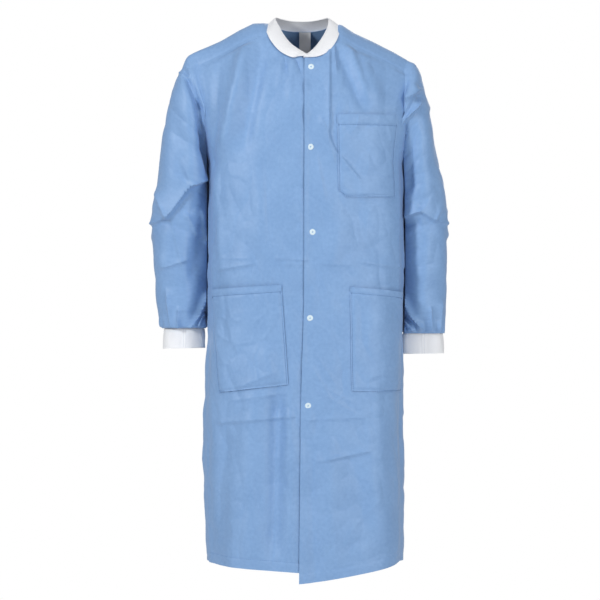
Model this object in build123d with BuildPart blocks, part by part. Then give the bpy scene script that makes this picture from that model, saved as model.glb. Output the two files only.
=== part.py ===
"""A knee-length lab coat of thin non-woven cloth, drawn as it hangs on a wearer, snapped shut.

The wearer faces -Y, +Z is up and +X is the wearer's left. The origin is the middle of the neck opening, level
with the wearer's shoulders where they meet the neck. The left front laps over the right front, and five snaps
hold them together. Cloth is drawn CLOTH thick, which is several times the real cloth, so that it stays a solid.
Below SPLIT_Z each front hangs from its side seam and swings open about it; the sleeves turn at the shoulders
and bend at the elbows, where a ball-shaped end turns inside the sleeve above it.
"""

import os

from build123d import *

os.makedirs("parts", exist_ok=True)

# Cloth and knit
CLOTH = 1.2
KNIT = 2.4
LAP_GAP = 4.0  # between the two fronts, filled by the closed snaps
RUN = 0.4  # clearance between pieces that move past each other

# Body: a rounded box below the chest, closing over the shoulders to the neck
BODY_HALF_WIDTH = 190.0
BODY_HALF_DEPTH = 110.0
BODY_CORNER = 70.0
CHEST_Z = -170.0
SPLIT_Z = -470.0
BACK_HEM_Z = -1066.0
RIGHT_HEM_Z = -1090.0  # at the front edge; both fronts rise to the back's hem at the side seams
LEFT_HEM_Z = -1108.0
SEAM_Y = -30.0  # side seams and shoulder seams lie forward of the middle
SHOULDER_EDGE_Z = -68.0
SHOULDER_SLOPE = (  # height, half width, half depth, corner radius, from the chest up to the neck
    (CHEST_Z, BODY_HALF_WIDTH, BODY_HALF_DEPTH, BODY_CORNER),
    (-115.0, 190.0, 90.0, 68.0),
    (SHOULDER_EDGE_Z, 190.0, 69.0, 60.0),
    (-47.0, 184.0, 64.0, 58.0),
    (-27.0, 148.0, 60.0, 56.0),
    (-5.0, 112.0, 57.0, 53.0),
    (6.0, 80.0, 54.0, 50.0),
)

# Fronts: the left front's edge, and how far the right front reaches behind it
LEFT_EDGE_X = -6.0
RIGHT_UNDERLAP_X = 62.0
JOGGLE_X = LEFT_EDGE_X - 1.0  # where the right front steps back behind the left one

# Neck and collar
NECK_HALF_WIDTH = 76.0
NECK_HALF_DEPTH = 62.5
NECK_Y = -7.5
NECK_FRONT_Z = -62.0
COLLAR_TOP_Z = 18.0

# Sleeves
SHOULDER_X = 190.0
SHOULDER_Z = -122.0
ARMHOLE_RADIUS = 71.5
SLEEVE_HEAD_RADIUS = 70.0
SLEEVE_HEAD_X = 160.0  # the head reaches this far in, so that no gap opens as it turns
ELBOW_X = 242.5
ELBOW_Y = 22.0
ELBOW_Z = -391.0
UPPER_RADIUS = 49.0
LOWER_RADIUS = UPPER_RADIUS - CLOTH - 0.8
CUFF_TOP_Z = -606.0
CUFF_END_Z = -646.0
CUFF_HALF_WIDTH = 43.0
CUFF_HALF_DEPTH = 24.0
SLEEVE_CAP_Z = -200.0  # the ball-shaped head and the tube below it are two nodes
SLEEVE_RINGS = (  # height, middle x, middle y, half width, half depth, down to the elbow
    (-140.0, 222.0, 0.0, 26.0, 42.0),
    (-200.0, 228.0, 3.0, 34.5, 53.0),
    (-270.0, 235.0, 10.0, 41.5, 52.0),
    (-330.0, ELBOW_X, ELBOW_Y, UPPER_RADIUS, UPPER_RADIUS),
)
ELBOW_FRONT_RISE = 54.0  # the upper sleeve's rim stands this far above the elbow in front, for a right-angle bend
ELBOW_BACK_DROP = 46.0
BALL_RISE = 30.0  # how far the lower sleeve's ball end reaches above the elbow

# Pockets: patches sewn on at the sides and the bottom, standing a little open
HIP_POCKET_GAP = 6.0
HIP_POCKET_TOP_Z = -520.0
HIP_POCKET_BOTTOM_Z = -723.0
RIGHT_POCKET_X = -38.0
RIGHT_POCKET_END_Y = -76.0
LEFT_POCKET_X = 98.0
CHEST_POCKET_GAP = 5.0
CHEST_POCKET_TOP_Z = -175.0
CHEST_POCKET_BOTTOM_Z = -338.0
CHEST_POCKET_X = (69.0, 183.0)

# Snaps: cap and socket on the left front, stud and back cap on the right front
SNAP_X = 16.0
SNAP_UPPER_Z = (-81.0, -240.0, -409.0)
SNAP_LOWER_Z = (-580.0, -754.0)
CAP_RADIUS = 6.1
CAP_THICKNESS = 1.5
POST_RADIUS = 1.1
POST_HOLE_RADIUS = 1.2
SOCKET_RADIUS = 4.9
SOCKET_THICKNESS = 2.6
SOCKET_MOUTH_RADIUS = 3.1  # wide enough to let go of the stud while the fronts swing apart
SOCKET_MOUTH_DEPTH = 1.5
STUD_RADIUS = 4.7
STUD_BASE = 1.0
STUD_HEAD_RADIUS = 1.9
STUD_HEAD_HEIGHT = 1.4

# Neck label
LABEL_X = 6.0
LABEL_WIDTH = 24.0
LABEL_TOP_Z = -9.0
LABEL_BOTTOM_Z = -52.0
LABEL_Y = 49.0
LABEL_THICKNESS = 0.8

FAR = 400.0  # half size of the blocks that trim a piece to its own region


def write(piece, name):
    """Labels a finished piece and writes it as a STEP file of that name."""
    piece.part.label = name
    export_step(piece.part, f"parts/{name}.step")


def ring_sketch(outer, inner, half_width=BODY_HALF_WIDTH, half_depth=BODY_HALF_DEPTH, corner=BODY_CORNER):
    """The body's wall in plan, from an offset of `outer` to one of `inner`, both measured outwards."""
    RectangleRounded(2 * (half_width + outer), 2 * (half_depth + outer), corner + outer)
    RectangleRounded(2 * (half_width + inner), 2 * (half_depth + inner), corner + inner, mode=Mode.SUBTRACT)


def front_depth(height):
    """How far the front's flat middle stands from the origin plane at a height on the shoulder slope."""
    for (low, _, low_depth, _), (high, _, high_depth, _) in zip(SHOULDER_SLOPE, SHOULDER_SLOPE[1:]):
        if low <= height <= high:
            return low_depth + (high_depth - low_depth) * (height - low) / (high - low)
    return BODY_HALF_DEPTH


def wall(outer_inset, inner_inset, bottom):
    """The coat's wall between two insets, from `bottom` up over the shoulders, with the neck and armholes cut."""
    with BuildPart() as made:
        with BuildSketch(Plane.XY.offset(bottom)):
            ring_sketch(-outer_inset, -inner_inset)
        extrude(amount=CHEST_Z - bottom)
        for inset, mode in ((outer_inset, Mode.ADD), (inner_inset, Mode.SUBTRACT)):
            for height, half_width, half_depth, corner in SHOULDER_SLOPE:
                drop = inset - outer_inset if height > SHOULDER_EDGE_Z else 0.0
                with BuildSketch(Plane.XY.offset(height - drop)):
                    RectangleRounded(2 * (half_width - inset), 2 * (half_depth - inset), corner - inset)
            loft(ruled=True, mode=mode)
        with BuildSketch(Plane.XY.offset(NECK_FRONT_Z)):
            with Locations((0, NECK_Y)):
                Ellipse(NECK_HALF_WIDTH, NECK_HALF_DEPTH)
        extrude(amount=FAR, mode=Mode.SUBTRACT)
        with Locations((SHOULDER_X, 0, SHOULDER_Z), (-SHOULDER_X, 0, SHOULDER_Z)):
            Sphere(ARMHOLE_RADIUS, mode=Mode.SUBTRACT)
    return made


def keep_block(x_low, x_high, y_low, y_high, z_low=-2000.0, z_high=FAR):
    """Keeps only what lies inside a block of these limits."""
    with Locations(((x_low + x_high) / 2, (y_low + y_high) / 2, (z_low + z_high) / 2)):
        Box(x_high - x_low, y_high - y_low, z_high - z_low, mode=Mode.INTERSECT)


def snap_plane(height, inset=0.0):
    """The plane of a snap on the coat's front at a height, facing out of the cloth, `inset` below its surface."""
    step = 1.0
    lean = front_depth(height + step) - front_depth(height - step) if height > CHEST_Z else 0.0
    normal = Vector(0, -1, -lean / (2 * step)).normalized()
    on_surface = Vector(SNAP_X, -front_depth(height), height)
    return Plane(origin=on_surface + normal * (inset * normal.Y), x_dir=(1, 0, 0), z_dir=normal)


def post_holes(heights):
    """Drills the snaps' post holes through the front that is being built."""
    for height in heights:
        with Locations(snap_plane(height)):
            Cylinder(POST_HOLE_RADIUS, 8 * (CLOTH + LAP_GAP), mode=Mode.SUBTRACT)


# ---------------------------------------------------------------- body and fronts

shell = wall(0.0, CLOTH, SPLIT_Z)
lap_shell = wall(CLOTH + LAP_GAP, 2 * CLOTH + LAP_GAP, SPLIT_Z)
joggle_shell = wall(0.0, 2 * CLOTH + LAP_GAP, SPLIT_Z)

with BuildPart() as back_panel:
    add(shell.part)
    with BuildSketch(Plane.XY.offset(BACK_HEM_Z)):
        ring_sketch(0.0, -CLOTH)
    extrude(amount=SPLIT_Z - BACK_HEM_Z)
    keep_block(-FAR, FAR, SEAM_Y, FAR)

with BuildPart() as left_front_yoke:
    add(shell.part)
    keep_block(LEFT_EDGE_X, FAR, -FAR, SEAM_Y)
    post_holes(SNAP_UPPER_Z)

with BuildPart() as underlap_yoke:
    add(lap_shell.part)
    keep_block(JOGGLE_X - CLOTH, RIGHT_UNDERLAP_X, -FAR, SEAM_Y)

with BuildPart() as joggle_yoke:
    add(joggle_shell.part)
    keep_block(JOGGLE_X - CLOTH, JOGGLE_X, -FAR, SEAM_Y)

with BuildPart() as right_front_yoke:
    add(shell.part)
    keep_block(-FAR, JOGGLE_X, -FAR, SEAM_Y)
    add(joggle_yoke.part)
    add(underlap_yoke.part)
    post_holes(SNAP_UPPER_Z)


def hem_outline(edge_x, edge_z, side):
    """A front seen from the front, its hem sloping up from the front edge to the back's hem at the side seam."""
    with BuildSketch(Plane.XZ) as outline:
        Polygon(
            (edge_x, edge_z),
            (side * BODY_HALF_WIDTH, BACK_HEM_Z),
            (side * FAR, BACK_HEM_Z),
            (side * FAR, SPLIT_Z),
            (-side * FAR, SPLIT_Z),
            (-side * FAR, edge_z),
            align=None,
        )
    return outline.sketch


with BuildPart() as left_front_skirt:
    with BuildSketch(Plane.XY.offset(LEFT_HEM_Z)):
        ring_sketch(0.0, -CLOTH)
    extrude(amount=SPLIT_Z - RUN - LEFT_HEM_Z)
    keep_block(LEFT_EDGE_X, FAR, -FAR, SEAM_Y - RUN)
    extrude(hem_outline(LEFT_EDGE_X, LEFT_HEM_Z, 1), amount=FAR, both=True, mode=Mode.INTERSECT)
    post_holes(SNAP_LOWER_Z)

with BuildPart() as right_front_skirt:
    with BuildSketch(Plane.XY.offset(RIGHT_HEM_Z)) as right_skirt_plan:
        ring_sketch(0.0, -CLOTH)
        with Locations((JOGGLE_X, -FAR / 2)):
            Rectangle(FAR, FAR, align=(Align.MAX, Align.CENTER), mode=Mode.INTERSECT)
        with Locations((JOGGLE_X, -BODY_HALF_DEPTH)):
            Rectangle(CLOTH, 2 * CLOTH + LAP_GAP, align=(Align.MAX, Align.MIN))
        with Locations((JOGGLE_X - CLOTH, CLOTH + LAP_GAP - BODY_HALF_DEPTH)):
            Rectangle(RIGHT_UNDERLAP_X - JOGGLE_X + CLOTH, CLOTH, align=(Align.MIN, Align.MIN))
    extrude(amount=SPLIT_Z - RUN - RIGHT_HEM_Z)
    keep_block(-FAR, FAR, -FAR, SEAM_Y - RUN)
    extrude(hem_outline(RIGHT_UNDERLAP_X, RIGHT_HEM_Z, -1), amount=FAR, both=True, mode=Mode.INTERSECT)
    post_holes(SNAP_LOWER_Z)

write(back_panel, "back_panel")
write(left_front_yoke, "left_front_yoke")
write(right_front_yoke, "right_front_yoke")
write(left_front_skirt, "left_front_skirt")
write(right_front_skirt, "right_front_skirt")

# ---------------------------------------------------------------- collar and label

with BuildPart() as collar_rib:
    for top_inset, mode in ((0.0, Mode.ADD), (KNIT, Mode.SUBTRACT)):
        for height, half_width, half_depth, middle_y in (
            (NECK_FRONT_Z - 6, NECK_HALF_WIDTH, NECK_HALF_DEPTH, NECK_Y),
            (-1.0, NECK_HALF_WIDTH, NECK_HALF_DEPTH, NECK_Y),
            (COLLAR_TOP_Z + 2, 51.0, 50.0, -5.0),
        ):
            with BuildSketch(Plane.XY.offset(height)):
                with Locations((0, middle_y)):
                    Ellipse(half_width - top_inset, half_depth - top_inset)
        loft(ruled=True, mode=mode)
    # side view of the band: highest round the back, falling to a point at the front
    with BuildSketch(Plane.YZ):
        with BuildLine():
            lower = Spline((60, -15), (30, -8), (-4, -2), (-34, -19), (-57, -45), (-72, -63))
            upper = Spline((-72, -53), (-52, -24), (-28, 6), (0, 17), (30, 16), (60, 12))
            Line(lower @ 1, upper @ 0)
            Line(upper @ 1, lower @ 0)
        make_face()
    extrude(amount=FAR, both=True, mode=Mode.INTERSECT)
    add(shell.part, mode=Mode.SUBTRACT)

with BuildPart() as neck_label:
    with Locations((LABEL_X, LABEL_Y, (LABEL_TOP_Z + LABEL_BOTTOM_Z) / 2)):
        Box(LABEL_WIDTH, LABEL_THICKNESS, LABEL_TOP_Z - LABEL_BOTTOM_Z)

write(collar_rib, "collar_rib")
write(neck_label, "neck_label")

# ---------------------------------------------------------------- pockets


def pocket(gap, x_low, x_high, y_end, z_low, z_high):
    """A patch pocket that follows the body's wall: a sheet `gap` away from it, closed down both sides and below."""
    width, depth = x_high - x_low, y_end + FAR
    middle = ((x_low + x_high) / 2, y_end - depth / 2)
    with BuildPart() as made:
        with BuildSketch(Plane.XY.offset(z_low)):
            ring_sketch(gap + CLOTH, 0.0)
            with Locations(middle):
                Rectangle(width, depth, mode=Mode.INTERSECT)
        extrude(amount=z_high - z_low)
        with BuildSketch(Plane.XY.offset(z_low + CLOTH)):
            ring_sketch(gap, 0.0)
            with Locations((middle[0], middle[1] - CLOTH)):
                Rectangle(width - 2 * CLOTH, depth, mode=Mode.INTERSECT)
        extrude(amount=FAR, mode=Mode.SUBTRACT)
    return made


chest_pocket = pocket(
    CHEST_POCKET_GAP, CHEST_POCKET_X[0], CHEST_POCKET_X[1], -40.0, CHEST_POCKET_BOTTOM_Z, CHEST_POCKET_TOP_Z
)
right_hip_pocket = pocket(
    HIP_POCKET_GAP, -FAR, RIGHT_POCKET_X, RIGHT_POCKET_END_Y, HIP_POCKET_BOTTOM_Z, HIP_POCKET_TOP_Z
)
left_hip_pocket = pocket(
    HIP_POCKET_GAP, LEFT_POCKET_X, FAR, SEAM_Y - 2 * RUN, HIP_POCKET_BOTTOM_Z, HIP_POCKET_TOP_Z
)

write(chest_pocket, "chest_pocket")
write(right_hip_pocket, "right_hip_pocket")
write(left_hip_pocket, "left_hip_pocket")

# ---------------------------------------------------------------- sleeves


def upper_sleeve_body(inset, inner_x):
    """The left sleeve's body above the elbow as one solid, `inset` inside its outer surface, from `inner_x` out."""
    rim = ELBOW_Z - ELBOW_BACK_DROP
    with BuildPart() as body:
        for height, x, y, half_width, half_depth in SLEEVE_RINGS:
            with BuildSketch(Plane.XY.offset(height)):
                with Locations((x, y)):
                    Ellipse(half_width - inset, half_depth - inset)
        loft(ruled=True)
        with BuildSketch(Plane.XY.offset(rim - inset)):
            with Locations((ELBOW_X, ELBOW_Y)):
                Circle(UPPER_RADIUS - inset)
        extrude(amount=SLEEVE_RINGS[-1][0] - rim + inset)
        with BuildSketch(Plane.XZ):
            with BuildLine():
                head = CenterArc((SHOULDER_X, SHOULDER_Z), SLEEVE_HEAD_RADIUS - inset, 0, 180)
                Line(head @ 1, head @ 0)
            make_face()
        revolve(axis=Axis((SHOULDER_X, 0, SHOULDER_Z), (1, 0, 0)))
        keep_block(inner_x, FAR, -FAR, FAR)
    return body


def upper_sleeve():
    """The upper half of the left sleeve, from the armhole to the slanting rim round the elbow."""
    rim = ELBOW_Z - ELBOW_BACK_DROP
    outside = upper_sleeve_body(0.0, SLEEVE_HEAD_X)
    inside = upper_sleeve_body(CLOTH, SLEEVE_HEAD_X - 1.0)
    with BuildPart() as made:
        add(outside.part)
        add(inside.part, mode=Mode.SUBTRACT)
        with BuildSketch(Plane.YZ):
            Polygon(
                (ELBOW_Y - UPPER_RADIUS - 1, ELBOW_Z + ELBOW_FRONT_RISE),
                (ELBOW_Y + UPPER_RADIUS + 1, rim),
                (ELBOW_Y + UPPER_RADIUS + 1, rim - 5),
                (-FAR, rim - 5),
                (-FAR, ELBOW_Z + ELBOW_FRONT_RISE),
                align=None,
            )
        extrude(amount=FAR, both=True, mode=Mode.SUBTRACT)
    return made


def lower_sleeve():
    """The lower half of the left sleeve: a ball end inside the upper sleeve, and a tube gathered to the cuff."""
    with BuildPart() as made:
        for inset, mode in ((0.0, Mode.ADD), (CLOTH, Mode.SUBTRACT)):
            with Locations((ELBOW_X, ELBOW_Y, ELBOW_Z)):
                Sphere(LOWER_RADIUS - inset, mode=mode)
            for height, half_width, half_depth in (
                (ELBOW_Z, LOWER_RADIUS, LOWER_RADIUS),
                (-520.0, 45.0, 43.0),
                (-585.0, 44.0, 38.0),
                (CUFF_TOP_Z, CUFF_HALF_WIDTH, CUFF_HALF_DEPTH),
            ):
                with BuildSketch(Plane.XY.offset(height)):
                    with Locations((ELBOW_X, ELBOW_Y)):
                        Ellipse(half_width - inset, half_depth - inset)
            loft(ruled=True, mode=mode)
        # the ball's top stays open for the arm
        keep_block(-FAR, FAR, -FAR, FAR, z_high=ELBOW_Z + BALL_RISE)
    return made


def cuff():
    """The left knitted cuff, a plain oval tube that grips the wrist."""
    with BuildPart() as made:
        with BuildSketch(Plane.XY.offset(CUFF_END_Z)):
            with Locations((ELBOW_X, ELBOW_Y)):
                Ellipse(CUFF_HALF_WIDTH, CUFF_HALF_DEPTH)
                Ellipse(CUFF_HALF_WIDTH - KNIT, CUFF_HALF_DEPTH - KNIT, mode=Mode.SUBTRACT)
        extrude(amount=CUFF_TOP_Z - CUFF_END_Z)
    return made


whole_upper = upper_sleeve()

with BuildPart() as sleeve_cap:
    add(whole_upper.part)
    keep_block(0.0, FAR, -FAR, FAR, z_low=SLEEVE_CAP_Z)

with BuildPart() as sleeve_upper:
    add(whole_upper.part)
    keep_block(0.0, FAR, -FAR, FAR, z_high=SLEEVE_CAP_Z)

for name, piece in (
    ("sleeve_cap", sleeve_cap),
    ("sleeve_upper", sleeve_upper),
    ("sleeve_lower", lower_sleeve()),
    ("cuff_rib", cuff()),
):
    write(piece, f"left_{name}")
    with BuildPart() as mirrored:
        mirror(piece.part, about=Plane.YZ)
    write(mirrored, f"right_{name}")

# ---------------------------------------------------------------- snaps

UP = (Align.CENTER, Align.CENTER, Align.MIN)
DOWN = (Align.CENTER, Align.CENTER, Align.MAX)

with BuildPart() as cap:
    Cylinder(CAP_RADIUS, CAP_THICKNESS, align=UP)
    fillet(cap.faces().sort_by(Axis.Z)[-1].edges(), radius=1.0)
    Cylinder(POST_RADIUS, CLOTH + STUD_BASE - 0.2, align=DOWN)

with BuildPart() as socket:
    Cylinder(SOCKET_RADIUS, SOCKET_THICKNESS, align=DOWN)
    Cylinder(POST_RADIUS + 0.05, FAR, mode=Mode.SUBTRACT)
    with Locations((0, 0, SOCKET_MOUTH_DEPTH - SOCKET_THICKNESS)):
        Cylinder(SOCKET_MOUTH_RADIUS, FAR, align=DOWN, mode=Mode.SUBTRACT)

with BuildPart() as stud:
    Cylinder(STUD_RADIUS, STUD_BASE, align=UP)
    Cylinder(STUD_HEAD_RADIUS, STUD_BASE + STUD_HEAD_HEIGHT, align=UP)
    Cylinder(POST_RADIUS + 0.05, FAR, mode=Mode.SUBTRACT)


def flipped(plane):
    """The same plane facing the other way."""
    return Plane(origin=plane.origin, x_dir=plane.x_dir, z_dir=-plane.z_dir)


for place, heights in (("upper", SNAP_UPPER_Z), ("lower", SNAP_LOWER_Z)):
    for number, height in enumerate(heights, start=1):
        snap = f"snap_{place}_{number}"
        with BuildPart() as placed_cap:
            with Locations(snap_plane(height)):
                add(cap.part)
        write(placed_cap, f"{snap}_cap")
        with BuildPart() as placed_socket:
            with Locations(snap_plane(height, CLOTH)):
                add(socket.part)
        write(placed_socket, f"{snap}_socket")
        with BuildPart() as placed_stud:
            with Locations(snap_plane(height, CLOTH + LAP_GAP)):
                add(stud.part)
        write(placed_stud, f"{snap}_stud")
        with BuildPart() as placed_back_cap:
            with Locations(flipped(snap_plane(height, 2 * CLOTH + LAP_GAP))):
                add(cap.part)
        write(placed_back_cap, f"{snap}_back_cap")
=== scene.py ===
"""Looks for the snap-front lab coat: cloth, knit, snaps, label, light and camera.

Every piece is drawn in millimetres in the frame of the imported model: the wearer faces -Y, +X is the wearer's
left, +Z is up. The coat's cloth is one body surface, a rounded ring at each height that closes over the
shoulders, and two sleeves that grow out of its armholes. Folds are pushed into those surfaces along their
normals, and pockets, snaps and seams are laid on the folded cloth.
"""
import math

import bmesh
import bpy
import numpy as np
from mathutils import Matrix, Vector
from mathutils.bvhtree import BVHTree


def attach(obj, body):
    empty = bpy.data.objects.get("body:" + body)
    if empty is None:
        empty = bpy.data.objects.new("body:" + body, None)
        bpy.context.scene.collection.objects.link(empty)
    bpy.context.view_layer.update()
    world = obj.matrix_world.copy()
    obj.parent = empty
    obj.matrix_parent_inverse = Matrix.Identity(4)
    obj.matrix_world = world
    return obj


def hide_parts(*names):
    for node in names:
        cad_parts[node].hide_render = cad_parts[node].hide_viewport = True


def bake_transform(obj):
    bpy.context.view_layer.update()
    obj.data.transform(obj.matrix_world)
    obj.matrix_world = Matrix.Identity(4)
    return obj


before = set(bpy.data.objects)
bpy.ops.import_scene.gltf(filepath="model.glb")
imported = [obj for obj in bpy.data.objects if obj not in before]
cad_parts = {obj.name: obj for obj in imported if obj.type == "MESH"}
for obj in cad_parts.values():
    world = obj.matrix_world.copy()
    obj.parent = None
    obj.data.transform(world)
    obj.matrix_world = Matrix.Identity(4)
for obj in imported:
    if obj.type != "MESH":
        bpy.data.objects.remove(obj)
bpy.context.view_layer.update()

MM = 0.001

# ---- the coat's sizes, in millimetres

CLOTH_THICKNESS = 0.7
KNIT_THICKNESS = 1.8

HINGE_Y = -30.0  # the fronts swing about the side seams, which lie here
SWING_TOP, SWING_END = -425.0, -570.0  # where the fronts start to turn, and where they have turned fully

SECTION_POWER = 2.6  # how square the body's ring is
CENTRE_Y = 8.0
FRONT_DEPTH = 118.0
BACK_DEPTH = 98.0
HALF_WIDTH = 193.0
CHEST_Z = -170.0  # above it the fronts and the back close towards the shoulder ridge
RIDGE_Y = -7.5
UNDERARM_Z = -205.0
NECK_HALF_WIDTH = 75.0
NECK_FRONT_Z, NECK_FRONT_HALF = -55.0, 66.0  # the front neckline's lowest point and half its width

# height: how far the body's left and right sides stand out
SIDE_Z = (-1120.0, -1000.0, -880.0, -800.0, -700.0, -620.0, -500.0, -350.0, -240.0, -100.0)
LEFT_SIDE = (198.0, 202.0, 200.0, 197.0, 199.0, 201.0, 203.0, 203.0, 200.0, 194.0)
RIGHT_SIDE = (188.0, 193.0, 197.0, 197.0, 192.0, 188.0, 187.0, 186.0, 186.0, 192.0)

# the dropped shoulders carry the armhole seams out beyond the chest: height, and how far at each side
DROP_Z = (-270.0, -195.0, -92.0, -40.0)
LEFT_DROP = (0.0, 22.0, 27.0, 28.0)
RIGHT_DROP = (0.0, 14.0, 40.0, 44.0)

# the shoulder ridge, from the neck out
LEFT_RIDGE = ((0, 12), (60, 12), (80, 9), (104, -7), (140, -24), (182, -46), (205, -60), (222, -72))
RIGHT_RIDGE = ((0, 13), (60, 13), (97, 12), (124, -2), (157, -24), (190, -42), (212, -55), (226, -64))
SHOULDER_SEAM_DROP = 28.0  # the shoulder seam lies forward of the ridge
BACK_NECK_HALF, BACK_NECK_Z = 64.0, -1.0  # the back's neck edge, under the collar
BACK_NECK_REACH = 38.5  # how far behind the ridge the back's cloth comes in at the neck

HEM = {"left": (-1108.0, -1066.0), "right": (-1090.0, -1069.0)}  # at the front edge, at the side seam
HEM_CURVE = {"left": 1.3, "right": 1.15}
BACK_HEM_Z = -1067.0
UNDERLAP_X = 62.0  # how far the right front reaches under the left one
UPPER_SNAPS = 3  # these stay with the torso

SNAP_X = ((-81, 18), (-240, 17), (-409, 21), (-580, 16), (-754, 12))


# ---- smooth random fields


def field(u, v, cell, seed):
    """A smooth random field between about -1 and 1, with bumps `cell` mm apart."""
    values = np.random.default_rng(seed).uniform(-1, 1, (64, 64))
    fu, fv = np.asarray(u) / cell, np.asarray(v) / cell
    iu, iv = np.floor(fu).astype(int), np.floor(fv).astype(int)
    su, sv = fu - iu, fv - iv
    su, sv = su * su * (3 - 2 * su), sv * sv * (3 - 2 * sv)
    low = values[iu % 64, iv % 64] * (1 - su) + values[(iu + 1) % 64, iv % 64] * su
    high = values[iu % 64, (iv + 1) % 64] * (1 - su) + values[(iu + 1) % 64, (iv + 1) % 64] * su
    return low * (1 - sv) + high * sv


def smooth(low, high, value):
    """0 below low, 1 above high, and smooth between them; high may be the lower number."""
    t = np.clip((value - low) / (high - low), 0, 1)
    return t * t * (3 - 2 * t)


def crumple(u, v, cell, seed):
    """Flat facets that meet in crisp valleys, like thin stiff cloth that has been crushed: 0 in the valleys."""
    turn = field(u, v, 3.1 * cell, seed + 9) * cell * 0.5
    return np.abs(field(u + turn, v - turn, cell, seed)) ** 0.8


def creases(u, v, cell, seed):
    """Sharp-backed creases like those that stiff, thin non-woven keeps: 0 on the flats, 1 along a crease."""
    warp = 0.5 * cell
    a = field(u + warp * field(u, v, 2 * cell, seed + 5), v + warp * field(u, v, 2 * cell, seed + 6), cell, seed)
    return np.clip(1 - np.abs(a) * 3.2, 0, 1) ** 2


LIP_DROP = 2.6  # how quickly a lip's far side falls away, in mm


def fold(u, v, start, end, width, height, shape="ridge", fade=0.3):
    """One fold from start to end, seen along its own direction.

    A ridge is round and a crease sharp. A step rises on its left side and sinks on its right. A lip rises slowly
    on its left side and drops away at once on its right, as stiff cloth does where it is bent over itself.
    """
    (u0, v0), (u1, v1) = start, end
    length = math.hypot(u1 - u0, v1 - v0)
    tu, tv = (u1 - u0) / length, (v1 - v0) / length
    along = ((u - u0) * tu + (v - v0) * tv) / length
    across = (u - u0) * -tv + (v - v0) * tu
    ends = smooth(-fade * 0.6, fade * 0.4, along) * smooth(1 + fade * 0.6, 1 - fade * 0.4, along)
    if shape == "ridge":
        profile = np.exp(-((across / width) ** 2))
    elif shape == "crease":
        profile = np.exp(-np.abs(across) / width)
    elif shape == "lip":
        profile = np.exp(-np.abs(across) / np.where(across > 0, width, LIP_DROP))
    else:
        profile = (across / width) * np.exp(-((across / width) ** 2)) * 2.3
    return height * profile * ends


# ---- the body surface


def ring_table():
    """The body's ring from the front's middle to the back's: distance along it, and its place for unit sizes."""
    angle = np.linspace(math.pi / 2, -math.pi / 2, 1601)
    across = np.abs(np.cos(angle)) ** (2 / SECTION_POWER)
    depth = -np.sign(np.sin(angle)) * np.abs(np.sin(angle)) ** (2 / SECTION_POWER)
    x = HALF_WIDTH * across
    y = np.where(depth < 0, FRONT_DEPTH, BACK_DEPTH) * depth
    along = np.concatenate([[0], np.cumsum(np.hypot(np.diff(x), np.diff(y)))])
    return along, across, depth


RING, RING_ACROSS, RING_DEPTH = ring_table()
BACK_MIDDLE = RING[-1]


def ring_place(y):
    """How far along the ring the surface reaches this y, on the sides where it turns from front to back."""
    depth = (y - CENTRE_Y) / (FRONT_DEPTH if y < CENTRE_Y else BACK_DEPTH)
    return float(np.interp(depth, RING_DEPTH, RING))


SEAM = ring_place(HINGE_Y)
ARMHOLE_FRONT_Y, ARMHOLE_BACK_Y = -50.0, 48.0
FRONT_ARMHOLE = ring_place(ARMHOLE_FRONT_Y)
BACK_ARMHOLE = ring_place(ARMHOLE_BACK_Y)


def ridge_height(x):
    """The height of the shoulder ridge."""
    left = np.interp(np.abs(x), *zip(*LEFT_RIDGE))
    right = np.interp(np.abs(x), *zip(*RIGHT_RIDGE))
    return np.where(x > 0, left, right)


def body(place, z):
    """Points of the body's surface: `place` is measured round the ring, negative on the wearer's right."""
    place, z = np.broadcast_arrays(np.asarray(place, float), np.asarray(z, float))
    across = np.interp(np.abs(place), RING, RING_ACROSS) * np.sign(place)
    depth = np.interp(np.abs(place), RING, RING_DEPTH)
    low_z = np.minimum(z, CHEST_Z)
    left, right = np.interp(low_z, SIDE_Z, LEFT_SIDE), np.interp(low_z, SIDE_Z, RIGHT_SIDE)
    # the ring's middle shifts smoothly, so that a column near the front's middle stays straight
    half, shift = (left + right) / 2, (left - right) / 2
    x = half * across + shift * np.abs(across) ** 2
    drop = np.where(across > 0, np.interp(z, DROP_Z, LEFT_DROP), np.interp(z, DROP_Z, RIGHT_DROP))
    x = x + drop * np.sign(across) * np.abs(across) ** 5
    y = CENTRE_Y + np.where(depth < 0, FRONT_DEPTH, BACK_DEPTH) * depth
    ridge = ridge_height(x)
    t = np.clip((ridge - z) / (ridge - CHEST_Z), 0, 1)
    neck = np.sqrt(np.clip(1 - (x / NECK_HALF_WIDTH) ** 2, 0, 1))
    top_y = RIDGE_Y + np.where(depth > 0, BACK_NECK_REACH * neck, 0)
    y = top_y + (y - top_y) * np.where(z > CHEST_Z, (1 - (1 - t) ** 1.5) ** 0.64, 1)
    return np.stack([x, y, z], axis=-1)


def place_at(x, z):
    """How far round the ring the front reaches this x."""
    places = np.linspace(-SEAM, SEAM, 801)
    return float(np.interp(x, body(places, z)[:, 0], places))


def neckline(x):
    """The height of the front neckline."""
    return NECK_FRONT_Z * np.clip(1 - (np.abs(x) / NECK_FRONT_HALF) ** 2.6, 0, 1) ** 0.5


def distance_along(line):
    """How far along a line each of its points lies."""
    return np.concatenate([[0], np.cumsum(np.linalg.norm(np.diff(line, axis=0), axis=1))])


def resample(line, count):
    """The same line with `count` evenly spaced points."""
    step = distance_along(line)
    even = np.linspace(0, step[-1], count)
    return np.stack([np.interp(even, step, line[:, k]) for k in range(3)], axis=-1)


def add_folds(u, v, folds):
    """How far a table's folds stand off together."""
    h = np.zeros_like(u)
    for u0, v0, u1, v1, width, height, shape, fade in folds:
        h += fold(u, v, (u0, v0), (u1, v1), width, height, shape, fade)
    return h


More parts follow.
